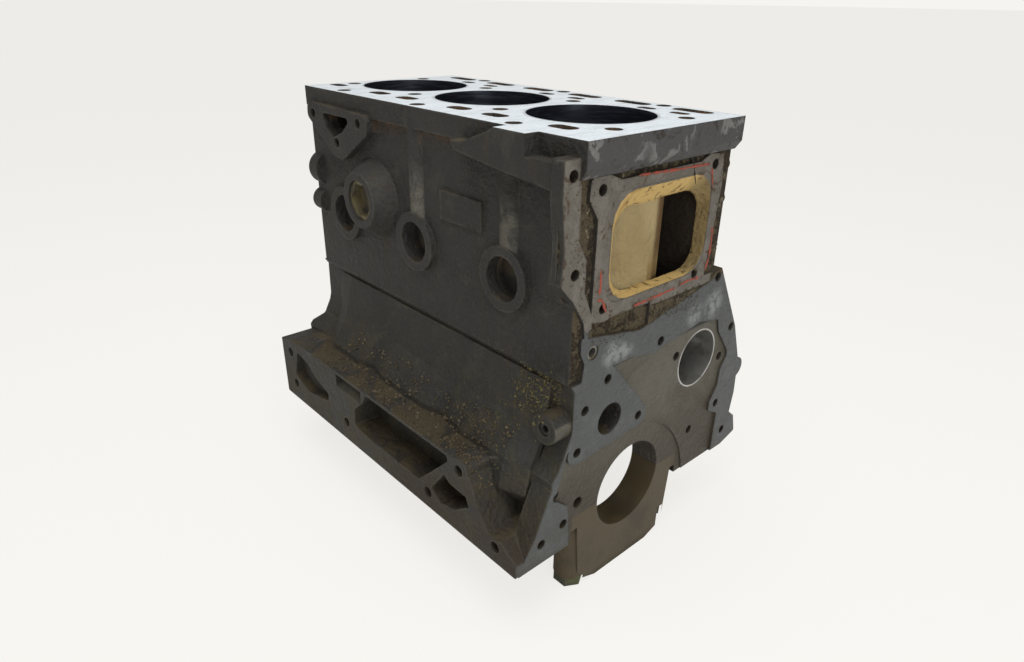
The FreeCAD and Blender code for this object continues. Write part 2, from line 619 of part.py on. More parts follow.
def main_bearing_caps():
    tunnel = rod("cap_tunnel", "x", ("-block_length - 1", 0, 0), "crank_bore", "block_length + 2")
    for name, back, front in MAINS:
        middle = f"(({back}) + ({front})) / 2"
        body = prism(f"cap_body_{name}", "x", back, front, [
            ("-cap_seat_half", 0), ("-cap_seat_half", "-cap_register"), ("-cap_half", "-cap_register"),
            ("-cap_foot_half", "-cap_drop + 18"),
            ("-cap_foot_half + 8", "-cap_drop + 6"), ("-cap_foot_half + 25", "-cap_drop"),
            ("cap_foot_half - 25", "-cap_drop"), ("cap_foot_half - 8", "-cap_drop + 6"),
            ("cap_foot_half", "-cap_drop + 18"), ("cap_half", "-cap_register"),
            ("cap_seat_half", "-cap_register"), ("cap_seat_half", 0)])
        bosses = [rod(f"cap_boss_{name}{side}", "z", (middle, f"{side}cap_bolt_half", f"-{bolt_seat(name, side)}"),
                      "cap_bolt_boss", f"{bolt_seat(name, side)} - cap_register + 1") for side in ("-", "")]
        holes = [rod(f"cap_hole_{name}{side}", "z", (middle, f"{side}cap_bolt_half", "-cap_drop - 1"),
                     "cap_bolt_hole", "cap_drop + 2") for side in ("-", "")]
        seats = [rod(f"cap_spot_{name}{side}", "z", (middle, f"{side}cap_bolt_half", "-cap_drop - 1"),
                     "cap_bolt_boss + 2", f"cap_drop + 1 - {bolt_seat(name, side)}") for side in ("-", "")]
        rings = [rod(f"cap_thimble_{name}{side}", "z", (middle, f"{side}cap_bolt_half", "-thimble_height / 2"),
                     "thimble_size", "thimble_height / 2 + 1") for side in ("-", "")]
        part(f"main_bearing_cap_{name}", cut(f"cap_{name}", fuse(f"cap_solid_{name}", [body, *bosses]),
                                             [tunnel, *holes, *seats, *rings]))


def cap_bolts_and_thimbles():
    thimbles = []
    for name, back, front in MAINS:
        middle = f"(({back}) + ({front})) / 2"
        bolts = []
        for side in ("-", ""):
            at = (middle, f"{side}cap_bolt_half")
            seat = bolt_seat(name, side)
            head = hexagon(f"bolt_head_{name}{side}", "z", (*at, f"-{seat} - bolt_head_height"),
                           "bolt_head_flats", "bolt_head_height")
            shank = rod(f"bolt_shank_{name}{side}", "z", (*at, f"-{seat}"), "cap_bolt_size",
                        f"{seat} + bolt_grip - 6")
            bolts.append(fuse(f"bolt_{name}{side}", [head, shank]))
            ring = rod(f"thimble_{name}{side}", "z", (*at, "-thimble_height / 2"), "thimble_size",
                       "thimble_height")
            hole = rod(f"thimble_hole_{name}{side}", "z", (*at, "-thimble_height / 2 - 1"), "cap_bolt_hole",
                       "thimble_height + 2")
            thimbles.append(cut(f"thimble_ring_{name}{side}", ring, [hole]))
        part(f"cap_bolts_{name}", group(f"bolt_pair_{name}", bolts))
    part("cap_thimbles", group("thimble_set", thimbles))


def group(name, pieces):
    """Separate solids kept together as one sub-part."""
    obj = doc.addObject("Part::Compound", name)
    obj.Links = pieces
    return obj


def cylinder_liners():
    for i, x in enumerate(CYLINDERS, start=1):
        sleeve = rod(f"liner_sleeve_{i}", "z", (x, 0, "deck_height - liner_length"), LINER_OUTER,
                     "liner_length")
        hole = rod(f"liner_hole_{i}", "z", (x, 0, "deck_height - liner_length - 1"), "liner_bore",
                   "liner_length + 2")
        part(f"cylinder_liner_{i}", cut(f"liner_{i}", sleeve, [hole]))


def camshaft_bushes():
    for i, (name, back, front) in enumerate(MAINS, start=1):
        start = f"{back} + cam_plug_thick" if name == "rear" else back
        end = "-gasket_step" if name == "front" else front
        ring = rod(f"bush_ring_{i}", "x", (start, "cam_side", "cam_height"), "cam_bore",
                   f"({end}) - ({start})")
        hole = rod(f"bush_hole_{i}", "x", (f"{start} - 1", "cam_side", "cam_height"),
                   "cam_bore - 2 * cam_bush_wall", f"({end}) - ({start}) + 2")
        part(f"camshaft_bush_{i}", cut(f"bush_{i}", ring, [hole]))
    plug = rod("cam_plug_disc", "x", ("-block_length", "cam_side", "cam_height"), "cam_bore", "cam_plug_thick")
    part("camshaft_rear_plug", plug)


def core_plugs():
    """Pressed cups, open side out, sunk below the faces of their bosses."""
    for i, x in enumerate(CYLINDERS, start=1):
        start = "-jacket_left - plug_boss_stand + plug_sink"
        cup = rod(f"plug_cup_{i}", "y", (x, start, "plug_height"), "plug_hole", "plug_cup")
        hollow = rod(f"plug_cup_hollow_{i}", "y", (x, f"{start} - 1", "plug_height"),
                     "plug_hole - 2 * plug_cup_wall", "plug_cup - plug_cup_wall + 1")
        part(f"core_plug_{i}", cut(f"plug_{i}", cup, [hollow]))


def screwed_plugs():
    start = "-jacket_left - port_stand + 3"
    disc = rod("port_plug_disc", "y", ("-port_back", start, "port_height"), "port_thread", "port_plug_thick")
    socket = hexagon("port_plug_socket", "y", ("-port_back", f"{start} - 1", "port_height"),
                     "port_plug_flats", "port_plug_thick - 4")
    part("port_plug", cut("port_plug_body", disc, [socket]))
    gallery = rod("gallery_plug_body", "y", ("-gallery_back", "-side_wall - 16", "gallery_height"),
                  "gallery_thread", 14)
    socket = hexagon("gallery_plug_socket", "y", ("-gallery_back", "-side_wall - 17", "gallery_height"), 6, 7)
    part("oil_gallery_plug", cut("gallery_plug_cut", gallery, [socket]))
    dowel = rod("dowel_body", "x", ("-cover_hole_depth", *COVER_HOLES[0]), "dowel_size",
                "cover_hole_depth - dowel_sink")
    hole = rod("dowel_hole", "x", ("-cover_hole_depth - 1", *COVER_HOLES[0]), "dowel_bore",
               "cover_hole_depth + 2")
    part("timing_cover_dowel", cut("dowel_ring", dowel, [hole]))


cylinder_block()
main_bearing_caps()
cap_bolts_and_thimbles()
cylinder_liners()
camshaft_bushes()
core_plugs()
screwed_plugs()
doc.recompute()

failed = [obj.Name for obj in doc.Objects if "Invalid" in obj.State or "Error" in obj.State]
if failed:
    raise RuntimeError(f"objects that did not compute: {failed}")
os.makedirs("parts", exist_ok=True)
for obj in PARTS:
    if obj.Shape.isNull() or not obj.Shape.isValid() or not obj.Shape.Solids:
        raise RuntimeError(f"{obj.Label} has no valid solid")
    obj.Shape.exportStep(f"parts/{obj.Label}.step")
    print(obj.Label, len(obj.Shape.Solids), round(obj.Shape.Volume))
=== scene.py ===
import math
import random

import bmesh
import bpy
from mathutils import Matrix, Vector
from mathutils.bvhtree import BVHTree


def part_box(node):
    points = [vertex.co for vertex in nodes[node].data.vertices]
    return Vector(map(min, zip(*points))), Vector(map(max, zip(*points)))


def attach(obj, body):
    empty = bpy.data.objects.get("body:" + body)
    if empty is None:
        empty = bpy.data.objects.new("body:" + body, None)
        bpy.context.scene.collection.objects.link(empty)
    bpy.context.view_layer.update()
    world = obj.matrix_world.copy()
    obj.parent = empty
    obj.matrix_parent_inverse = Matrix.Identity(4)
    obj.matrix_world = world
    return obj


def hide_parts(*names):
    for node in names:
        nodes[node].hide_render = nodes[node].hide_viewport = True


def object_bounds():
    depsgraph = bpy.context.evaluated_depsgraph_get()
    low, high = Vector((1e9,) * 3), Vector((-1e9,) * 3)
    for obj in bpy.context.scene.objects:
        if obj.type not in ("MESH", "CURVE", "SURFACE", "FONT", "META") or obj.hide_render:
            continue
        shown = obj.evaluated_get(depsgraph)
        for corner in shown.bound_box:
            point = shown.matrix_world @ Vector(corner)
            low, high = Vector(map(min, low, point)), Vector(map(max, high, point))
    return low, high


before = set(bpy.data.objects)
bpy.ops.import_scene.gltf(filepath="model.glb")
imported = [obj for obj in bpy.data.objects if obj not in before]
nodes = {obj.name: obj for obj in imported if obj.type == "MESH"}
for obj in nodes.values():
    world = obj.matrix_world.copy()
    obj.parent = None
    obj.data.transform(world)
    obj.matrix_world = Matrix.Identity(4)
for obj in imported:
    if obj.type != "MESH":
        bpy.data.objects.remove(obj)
cad_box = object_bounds()


# Cylinder block: one grey iron casting.  The head face, the timing face and its flanges are machined
# bright; everything else keeps its sand-cast skin under years of oil, soil and rust.  The skin's colours
# are also painted darker as shade for the dim plug side, and the head face carries a painted highlight.
class Number:
    """A number that varies over a surface.  Sums written with it become Math nodes."""

    def __init__(self, finish, socket):
        self.finish = finish
        self.socket = socket

    def math(self, operation, *values):
        node = self.finish.node("ShaderNodeMath", {"operation": operation}, dict(enumerate(values)))
        return Number(self.finish, node.outputs[0])

    def __add__(self, other):
        return self.math("ADD", self, other)

    def __sub__(self, other):
        return self.math("SUBTRACT", self, other)

    def __rsub__(self, other):
        return self.math("SUBTRACT", other, self)

    def __mul__(self, other):
        return self.math("MULTIPLY", self, other)

    def __truediv__(self, other):
        return self.math("DIVIDE", self, other)

    def __abs__(self):
        return self.math("ABSOLUTE", self)

    def at_least(self, other):
        return self.math("MAXIMUM", self, other)

    def at_most(self, other):
        return self.math("MINIMUM", self, other)

    __radd__ = __add__
    __rmul__ = __mul__


def paint(red, green, blue):
    """A colour as it is seen, 0 to 255 a channel, turned into shader units."""
    return tuple(((c / 255 + 0.055) / 1.055) ** 2.4 if c > 10 else c / 255 / 12.92
                 for c in (red, green, blue)) + (1.0,)


def add_node(tree, kind, settings=None, sockets=None):
    """Any node: its settings come first, then the values or links of its sockets."""
    node = tree.nodes.new(kind)
    for name, value in (settings or {}).items():
        setattr(node, name, value)
    for key, value in (sockets or {}).items():
        value = value.socket if isinstance(value, Number) else value
        if isinstance(value, bpy.types.NodeSocket):
            tree.links.new(value, node.inputs[key])
        else:
            node.inputs[key].default_value = value
    return node


class Finish:
    """A material built up in layers, as rust, paint and dirt lie over bare metal."""

    def __init__(self, name, colour, roughness, metallic=0.0):
        self.material = bpy.data.materials.new(name)
        self.material.use_nodes = True
        self.tree = self.material.node_tree
        self.shader = self.tree.nodes["Principled BSDF"]
        self.colour, self.roughness, self.metallic, self.height = colour, roughness, metallic, 0.0
        self.place = self.node("ShaderNodeTexCoord").outputs["Object"]
        self.x, self.y, self.z = self.parts(self.place)
        surface = self.node("ShaderNodeNewGeometry")
        self.facing = surface.outputs["True Normal"]
        self.facing_x, self.facing_y, self.facing_z = self.parts(self.facing)

    def node(self, kind, settings=None, sockets=None):
        return add_node(self.tree, kind, settings, sockets)

    def parts(self, vector):
        """The three numbers of a vector."""
        split = self.node("ShaderNodeSeparateXYZ", {}, {0: vector})
        return [Number(self, out) for out in split.outputs]

    def step(self, value, start, end):
        """0 before start, 1 past end, smooth between."""
        ramp = self.node("ShaderNodeMapRange", {"interpolation_type": "SMOOTHSTEP"},
                         {"Value": value, "From Min": start, "From Max": end})
        return Number(self, ramp.outputs["Result"])

    def within(self, value, low, high, soft=0.0004):
        """1 between two values, 0 outside them."""
        return self.step(value, low - soft, low + soft) * self.step(value, high + soft, high - soft)

    def near(self, centre, reach, soft):
        """1 inside a ball, fading to 0 round it."""
        return self.step(self.length(self.place, centre), reach + soft, reach - soft)

    def stretched(self, scale):
        """Places on the piece, drawn out or flattened along each axis."""
        moved = self.node("ShaderNodeMapping", {}, {"Vector": self.place, "Scale": scale})
        return moved.outputs["Vector"]

    def length(self, vector, centre=(0, 0, 0)):
        """How far a place is from a centre."""
        gap = self.node("ShaderNodeVectorMath", {"operation": "DISTANCE"}, {0: vector, 1: centre})
        return Number(self, gap.outputs["Value"])

    def noise(self, scale, detail=4.0, rough=0.55, warp=0.0, along=None):
        cloud = self.node("ShaderNodeTexNoise", {}, {
            "Vector": along or self.place, "Scale": scale, "Detail": detail, "Roughness": rough,
            "Distortion": warp})
        return Number(self, cloud.outputs["Fac"])

    def cells(self, scale):
        grain = self.node("ShaderNodeTexVoronoi", {}, {"Vector": self.place, "Scale": scale})
        return Number(self, grain.outputs["Distance"])

    def blend(self, mask, under, over):
        mix = self.node("ShaderNodeMix", {"data_type": "RGBA"}, {0: mask, 6: under, 7: over})
        return mix.outputs[2]

    def lay(self, mask, colour=None, roughness=None, metallic=None, height=None):
        """Cover what lies below by as much as the mask says."""
        if colour is not None:
            self.colour = self.blend(mask, self.colour, colour)
        if roughness is not None:
            self.roughness = mask * (roughness - self.roughness) + self.roughness
        if metallic is not None:
            self.metallic = mask * (metallic - self.metallic) + self.metallic
        if height is not None:
            self.height = self.height + mask * height

    def corners(self, reach):
        """1 along the edges and corners of the shape, 0 on its open faces."""
        eased = self.node("ShaderNodeBevel", {"samples": 2}, {"Radius": reach})
        match = self.node("ShaderNodeVectorMath", {"operation": "DOT_PRODUCT"},
                          {0: eased.outputs["Normal"], 1: self.facing})
        return self.step(1 - Number(self, match.outputs["Value"]), 0.01, 0.12)

    def hollows(self, reach, samples=2):
        """1 deep in corners and recesses, 0 out in the open."""
        shade = self.node("ShaderNodeAmbientOcclusion", {"samples": samples}, {"Distance": reach})
        return 1 - Number(self, shade.outputs["AO"])

    def done(self, round_edges=0.0, depth=0.001):
        """Join the layers to the shader; edges are eased by as much as the metal is worn."""
        for name, value in (("Base Color", self.colour), ("Roughness", self.roughness),
                            ("Metallic", self.metallic)):
            value = value.socket if isinstance(value, Number) else value
            if isinstance(value, bpy.types.NodeSocket):
                self.tree.links.new(value, self.shader.inputs[name])
            else:
                self.shader.inputs[name].default_value = value
        sockets = {"Distance": depth}
        if isinstance(self.height, Number):
            sockets["Height"] = self.height
        if round_edges:
            rounded = self.node("ShaderNodeBevel", {"samples": 3}, {"Radius": round_edges})
            sockets["Normal"] = rounded.outputs["Normal"]
        bump = self.node("ShaderNodeBump", {}, sockets)
        self.tree.links.new(bump.outputs["Normal"], self.shader.inputs["Normal"])
        return self.material


def dress(names, material):
    """Give a material to modelled pieces that keep their own mesh."""
    for name in names:
        for slot in nodes[name].material_slots:
            slot.material = material


def solid_from(shape, name):
    """A finished bmesh as a new object at the origin."""
    mesh = bpy.data.meshes.new(name)
    shape.to_mesh(mesh)
    shape.free()
    solid = bpy.data.objects.new(name, mesh)
    bpy.context.scene.collection.objects.link(solid)
    return solid


def slab(low, high):
    """A plain block between two corners, to be shaped further."""
    shape = bmesh.new()
    bmesh.ops.create_cube(shape, size=1)
    size = Vector(high) - Vector(low)
    bmesh.ops.scale(shape, verts=shape.verts, vec=size)
    bmesh.ops.translate(shape, verts=shape.verts, vec=(Vector(low) + Vector(high)) / 2)
    return shape


def ease_edges(shape, axis, radius, segments=4):
    """Round the edges of a block that run along one axis."""
    along = [edge for edge in shape.edges
             if abs((edge.verts[1].co - edge.verts[0].co).normalized()[axis]) > 0.99]
    bmesh.ops.bevel(shape, geom=along, offset=radius, offset_type="OFFSET", segments=segments, profile=0.5,
                    affect="EDGES", material=-1)


def fit(body, tool, operation):
    """Cut a tool out of a body, or weld it on, and put the tool away."""
    change = body.modifiers.new("fit", "BOOLEAN")
    change.solver = "EXACT"
    change.operation = operation
    change.object = tool
    finished = bpy.data.meshes.new_from_object(body.evaluated_get(bpy.context.evaluated_depsgraph_get()))
    body.modifiers.clear()
    body.data = finished
    bpy.data.objects.remove(tool)


raw = bmesh.new()
raw.from_mesh(nodes["cylinder_block"].data)
bmesh.ops.remove_doubles(raw, verts=raw.verts, dist=1e-6)
casting = solid_from(raw, "cylinder_block_casting")

# the pump opening, cast with a lead-in that slopes down its left and top sides
pump_left, pump_right, pump_low, pump_high = -0.056, 0.068, 0.193, 0.279
cored_corner, pump_corner, pump_slope, wall = 0.015, 0.024, 0.019, 0.0125
lap, below_face = 0.0012, 0.0004
rim = slab((-wall + 0.0002, pump_left - lap, pump_low - lap), (-below_face, pump_right + lap, pump_high + lap))
ease_edges(rim, 0, cored_corner)
fit(casting, solid_from(rim, "rim"), "UNION")
mouth = slab((-wall - 0.001, pump_left, pump_low), (0.001, pump_right, pump_high))
ease_edges(mouth, 0, pump_corner)
for point in mouth.verts:
    if point.co.x < -wall:
        point.co.y += pump_slope * (pump_right - point.co.y) / (pump_right - pump_left)
        point.co.z -= pump_slope * (point.co.z - pump_low) / (pump_high - pump_low)
fit(casting, solid_from(mouth, "mouth"), "DIFFERENCE")

# the screw hole beside the opening's lower corner, drilled through the new rim
screw_radius, drill_depth, screw_place = 0.0042, 0.0105, (-0.0050, 0.0585, 0.1915)
drill = bmesh.new()
bmesh.ops.create_cone(drill, cap_ends=True, segments=24, radius1=screw_radius, radius2=screw_radius,
                      depth=drill_depth,
                      matrix=Matrix.Translation(screw_place) @ Matrix.Rotation(math.pi / 2, 4, "Y"))
fit(casting, solid_from(drill, "drill"), "DIFFERENCE")

# the front of the deck slopes back to the flange below it
brow_low, brow_high, brow_front = 0.2915, 0.3005, 0.0068
brow_cut = slab((0.0, -0.094, brow_low), (brow_front, 0.095, brow_high))
for point in brow_cut.verts:
    if point.co.z > 0.3 and point.co.x < 0.003:
        point.co.x = brow_front - 0.0004
fit(casting, solid_from(brow_cut, "brow_cut"), "DIFFERENCE")

# the web behind the edge strip runs out downwards, and ends in line with the strip
web_low, web_high, web_outside = 0.198, 0.242, -0.108
web_cut = slab((-0.0442, web_outside, web_low), (-0.0121, -0.0884, web_high))
for point in web_cut.verts:
    if point.co.z > 0.24 and point.co.y > -0.09:
        point.co.y = web_outside + 0.0005
fit(casting, solid_from(web_cut, "web_cut"), "DIFFERENCE")
spur_back, spur_depth = -0.0126, 0.0078
spur_cut = bmesh.new()
strip_edge = [spur_cut.verts.new((spur_back, y, z)) for y, z in (
    (-0.112, 0.194), (-0.0885, 0.194), (-0.0885, 0.2035), (-0.0920, 0.2060), (-0.0981, 0.2120),
    (-0.1053, 0.2205), (-0.112, 0.2205))]
grown = bmesh.ops.extrude_face_region(spur_cut, geom=[spur_cut.faces.new(strip_edge)])["geom"]
bmesh.ops.translate(spur_cut, verts=[item for item in grown if isinstance(item, bmesh.types.BMVert)],
                    vec=(spur_depth, 0, 0))
bmesh.ops.recalc_face_normals(spur_cut, faces=spur_cut.faces)
fit(casting, solid_from(spur_cut, "spur_cut"), "DIFFERENCE")

# a blank raised plate on the plug side, with a border that stands a little prouder
border, plate_dip, plate_edge = 0.0024, 0.0009, 0.0004
plate = slab((-0.158, -0.0902, 0.231), (-0.104, -0.0878, 0.256))
plate_face = min(plate.faces, key=lambda face: face.calc_center_median().y)
bmesh.ops.inset_region(plate, faces=[plate_face], thickness=border, depth=0)
bmesh.ops.translate(plate, verts=plate_face.verts, vec=(0, plate_dip, 0))
bmesh.ops.bevel(plate, geom=plate.edges[:], offset=plate_edge, offset_type="OFFSET", segments=2, profile=0.5,
                affect="EDGES", material=-1)
fit(casting, solid_from(plate, "pattern_plate"), "UNION")
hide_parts("cylinder_block")
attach(casting, "root")

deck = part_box("cylinder_block")[1][2]
# dark oily iron, its colour also painted darker as shade for the dim plug side
iron = Finish("cast_iron_oily_and_shaded", paint(42, 41, 39), 0.6)
iron.shader.inputs["Specular IOR Level"].default_value = 0.28
fine = iron.noise(900, 3)
sand = iron.noise(240, 5, 0.65)
lumps = iron.noise(60, 4, 0.6)
blotch = iron.noise(14, 6, 0.6)
patchy = iron.noise(34, 6, 0.65, 0.5)
wide = iron.noise(5, 4, 0.5, 0.6)
runs = iron.noise(1, 6, 0.6, 0.2, along=iron.stretched((45, 45, 7)))
specks = iron.step(iron.cells(420), 0.25, 0.12)
recess = iron.hollows(0.02)
edges = iron.corners(0.0025) * (1 - iron.step(recess, 0.35, 0.6))
iron.height = sand * 1.5 + fine * 0.25 + lumps * 2.6 + blotch * 4.0

front = iron.step(iron.facing_x, 0.85, 0.95)
upward = iron.step(iron.facing_z, 0.85, 0.95)

# oily skin: near black where the oil lies, grey where it is dry, olive and brown lower down; all these
# skin colours are also painted darker, as painted shade for the dim plug side
dry_skin, old_oil, dusty_skin = paint(52, 51, 49), paint(25, 24, 23), paint(64, 61, 54)
oil_run, olive_film, brown_film = paint(56, 46, 34), paint(60, 55, 40), paint(46, 38, 28)
worn_edge, settled_soil, pale_speck = paint(100, 96, 86), paint(66, 57, 40), paint(98, 91, 70)
corner_dirt_and_shade, dead_moss = paint(44, 34, 24), paint(92, 84, 52)
iron.lay(iron.step(wide, 0.42, 0.68) * 0.8, dry_skin, 0.68)
iron.lay(iron.step(blotch, 0.48, 0.7) * 0.85, old_oil, 0.45)
iron.lay(iron.step(patchy, 0.52, 0.68) * 0.5, dusty_skin, 0.75)
iron.lay(iron.step(runs, 0.55, 0.72) * 0.6, oil_run, 0.7)
low_down = iron.step(iron.z, 0.15, 0.0)
iron.lay(low_down * iron.step(patchy, 0.38, 0.62) * 0.75, olive_film, 0.78)
iron.lay(iron.step(iron.z, 0.06, -0.02) * iron.step(wide, 0.35, 0.55) * 0.8, brown_film, 0.75)
iron.lay(edges * iron.step(patchy, 0.36, 0.55) * 0.7, worn_edge, 0.5, 0.2)
ledges = upward * iron.step(iron.z, deck - 0.001, deck - 0.002)
iron.lay(ledges * iron.step(patchy, 0.4, 0.55) * 0.8, settled_soil, 0.92, height=0.8)
iron.lay(specks * iron.step(blotch, 0.42, 0.6) * 0.4, pale_speck, 0.85, height=0.4)
# brown dirt in corners and recesses, which also darkens them as painted shade
iron.lay(iron.step(recess, 0.35, 0.8) * iron.step(blotch, 0.35, 0.6), corner_dirt_and_shade, 0.9)
gallery_boss, rail_corner = (-0.045, -0.10, 0.105), (-0.10, -0.11, 0.04)
moss_bed = iron.near(gallery_boss, 0.045, 0.03) + iron.near(rail_corner, 0.05, 0.045) * 0.6
tufts = iron.step(iron.noise(330, 4, 0.7), 0.56, 0.64)
iron.lay(moss_bed.at_most(1.0) * tufts * iron.step(patchy, 0.44, 0.58), dead_moss, 0.95, height=1.2)

# lands machined on the timing face: the gasket band, the scooped field inside it, the raised flanges
at_face = front * iron.within(iron.x, -0.0008, 0.001)
scooped = front * iron.within(iron.x, -0.0046, -0.0009) * iron.step(iron.z, 0.136, 0.133)
ragged = (iron.noise(90, 5, 0.6) - 0.5) * 0.006
band_middle, band_rise, band_lowest = 0.0096, 0.194, 0.159
band_top = abs(iron.y + band_middle) * band_rise + band_lowest + ragged * 0.5
below_band = iron.step(band_top - iron.z, -0.0006, 0.0006)
raised = at_face * iron.step(iron.z + ragged * 0.4, 0.1765, 0.1785) * iron.step(iron.y, 0.087, 0.083)
ledge = at_face * (1 - below_band) * (1 - raised) * iron.step(iron.y, -0.074, -0.07)
band = at_face * (1 - raised) * (1 - ledge)

field_iron, oil_stain, dark_film = paint(84, 81, 72), paint(62, 57, 44), paint(49, 42, 28)
iron.lay(scooped, field_iron, 0.5, 0.15, height=-2.6)
oily = iron.step(iron.noise(18, 6, 0.62, 0.8), 0.42, 0.66)
iron.lay(scooped * oily * 0.8, oil_stain, 0.4)
iron.lay(scooped * iron.step(iron.z, 0.10, -0.01) * 0.9, dark_film, 0.42)

gasket_grey, gasket_worn, gasket_glue, low_film = (paint(70, 73, 73), paint(92, 96, 96),
                                                   paint(138, 141, 140), paint(56, 48, 34))
iron.lay(band, gasket_grey, 0.45, 0.15, height=-2.6)
iron.lay(band * iron.step(iron.noise(45, 6, 0.65, 0.3), 0.48, 0.7) * 0.5, gasket_worn, 0.55)
smears = iron.near((0, -0.042, 0.148), 0.010, 0.007)
for y, z, reach, soft in ((-0.026, 0.146, 0.007, 0.006), (0.068, 0.150, 0.009, 0.006),
                          (0.097, 0.153, 0.012, 0.008), (0.112, 0.060, 0.008, 0.008)):
    smears = smears + iron.near((0, y, z), reach, soft)
torn = iron.step(iron.noise(120, 4, 0.6, 0.6), 0.38, 0.56)
iron.lay(band * smears.at_most(1.0) * torn * 0.7, gasket_glue, 0.65, 0.1)
iron.lay(band * iron.step(iron.z, 0.03, -0.06) * iron.step(patchy, 0.36, 0.6) * 0.85, low_film, 0.55)

flange_iron, flange_wiped, flange_rust = paint(92, 88, 80), paint(110, 105, 98), paint(66, 48, 34)
iron.lay(raised, flange_iron, 0.5, 0.15, height=-2.4)
iron.lay(raised * iron.step(iron.noise(52, 6, 0.7, 0.5), 0.45, 0.62) * 0.7, flange_wiped, 0.55)
iron.lay(raised * iron.step(iron.noise(70, 6, 0.7, 0.8), 0.54, 0.62) * 0.8, flange_rust, 0.8)

# rough front of the casting between and beside the flanges
crust, dark_crust, pale_crust = paint(74, 65, 48), paint(50, 41, 30), paint(122, 112, 92)
rough = front * iron.within(iron.x, -0.0130, -0.0012) * iron.step(iron.z, 0.136, 0.139)
rough = (rough + ledge).at_most(1.0)
iron.lay(rough, crust, 0.9, 0.0, height=1.0)
iron.lay(rough * iron.step(iron.noise(75, 8, 0.75, 0.6), 0.50, 0.58), dark_crust, 0.95, height=2.2)
iron.lay(rough * iron.step(iron.noise(120, 6, 0.7), 0.57, 0.64), pale_crust, 0.9, height=1.0)

# brow: the front edge of the deck, with paint that peels off it
brow_paint, bare_patch, brow_grime = paint(66, 65, 65), paint(104, 104, 102), paint(44, 38, 32)
brow = iron.step(iron.facing_x, 0.3, 0.5) * iron.step(iron.x, 0.0002, 0.0008)
iron.lay(brow, brow_paint, 0.55, 0.1, height=-2.2)
peel = iron.noise(42, 7, 0.7, 0.5)
iron.lay(brow * iron.step(peel, 0.55, 0.58) * iron.step(blotch, 0.38, 0.5), bare_patch, 0.65)
iron.lay(brow * iron.step(peel, 0.42, 0.39) * 0.8, brow_grime, 0.7)

# head face: milled and wiped bright, brown where the water stood; its near-white, bluish tone is partly
# painted highlight from the light above
milled_and_highlit, wiped_streak, dull_patch, arris = (paint(222, 230, 236), paint(192, 200, 208),
                                           paint(158, 158, 156), paint(150, 150, 148))
top = upward * iron.step(iron.z, deck - 0.0006, deck - 0.0003)
# the milled face is painted near white: its own bright metal plus a painted highlight
iron.lay(top, milled_and_highlit, 0.32, 0.3, height=-3.4)
streaks = iron.noise(3, 5, 0.6, 0.3, along=iron.stretched((60, 8, 8)))
iron.lay(top * iron.step(streaks, 0.5, 0.62) * 0.4, wiped_streak, 0.28)
iron.lay(top * iron.step(iron.noise(26, 7, 0.7, 0.6), 0.60, 0.68) * 0.55, dull_patch, 0.5)
iron.lay(top * edges * 0.5, arris, 0.5)
hole_depth, hole_field = 0.030, 0.0905
pits = iron.within(iron.z, deck - hole_depth, deck - 0.0005) * (1 - upward) * iron.step(recess, 0.25, 0.5) \
    * iron.within(iron.y, -hole_field, hole_field) * iron.step(iron.x, -0.004, -0.006)
iron.lay(pits, paint(74, 62, 50), 0.85)
iron.lay(pits * iron.step(patchy, 0.45, 0.55), paint(104, 76, 52), 0.9)

# crank tunnel, and the sump and housing faces
tunnel_radius = 0.0422
tunnel = iron.step(iron.length(iron.stretched((0, 1, 1))), tunnel_radius + 0.0002, tunnel_radius)
iron.lay(tunnel, paint(88, 84, 78), 0.35, 0.6, height=-0.6)
sump_face = iron.step(iron.facing_z, -0.85, -0.95) * iron.step(iron.z, -0.0232, -0.0238)
rear_face = iron.step(iron.facing_x, -0.85, -0.95)
iron.lay(sump_face.at_least(rear_face), paint(92, 88, 80), 0.5, 0.3, height=-0.5)

# water jacket seen through the pump opening: scale on the barrel and on the edge of the opening, and the
# jacket's depths painted near black, painted shade over rust-brown
barrel_centre, barrel_radius = (-0.0755, 0, 0), 0.065
rust_brown_painted_shade, barrel_scale, barrel_stain = paint(40, 34, 26), paint(158, 142, 104), paint(128, 110, 76)
inside = iron.step(iron.x, -0.0126, -0.0132) * iron.within(iron.y, -0.0805, 0.0695) \
    * iron.within(iron.z, 0.1415, 0.3009)
# the jacket's inside is painted near black: painted shade over rust-brown
iron.lay(inside, rust_brown_painted_shade, 0.9)
from_barrel = iron.length(iron.stretched((1, 1, 0)), barrel_centre)
barrel = iron.step(from_barrel, barrel_radius + 0.0005, barrel_radius - 0.0005) * inside
iron.lay(barrel, barrel_scale, 0.85, height=-0.4)
iron.lay(barrel * iron.step(iron.noise(16, 3, 0.4), 0.42, 0.66) * 0.7, barrel_stain)
# the barrel's right side, turning away towards its outline, is painted darker brown: painted shade
iron.lay(barrel * iron.step(iron.y, 0.012, 0.022), paint(92, 70, 42), 0.9)
# scale on the jacket's floor, painted lighter where light reaches in: its own colour plus a painted pool of
# light
lit_jacket_floor = iron.step(iron.z, 0.222, 0.200) * iron.within(iron.y, 0.010, 0.062)
iron.lay(inside * lit_jacket_floor, paint(128, 108, 70), 0.9)

yellow_scale, amber_scale, scale_pits = paint(186, 158, 100), paint(150, 118, 66), paint(96, 78, 50)
lead_in = iron.step(iron.x, -0.0003, -0.0006) * iron.step(iron.x, -0.0165, -0.0155) \
    * iron.within(iron.y, pump_left - 0.0005, pump_right + 0.0005) \
    * iron.within(iron.z, pump_low - 0.0005, pump_high + 0.0005) * (1 - front)
iron.lay(lead_in, yellow_scale, 0.8)
iron.lay(lead_in * iron.step(iron.noise(38, 4, 0.5), 0.5, 0.66) * 0.7, amber_scale)
iron.lay(lead_in * iron.step(iron.noise(150, 5, 0.7), 0.58, 0.64), scale_pits, height=0.6)
iron.lay(lead_in * iron.step(iron.y, 0.040, 0.060) * 0.7, paint(96, 88, 66))
casting.data.materials.clear()
casting.data.materials.append(iron.done(round_edges=0.0024))


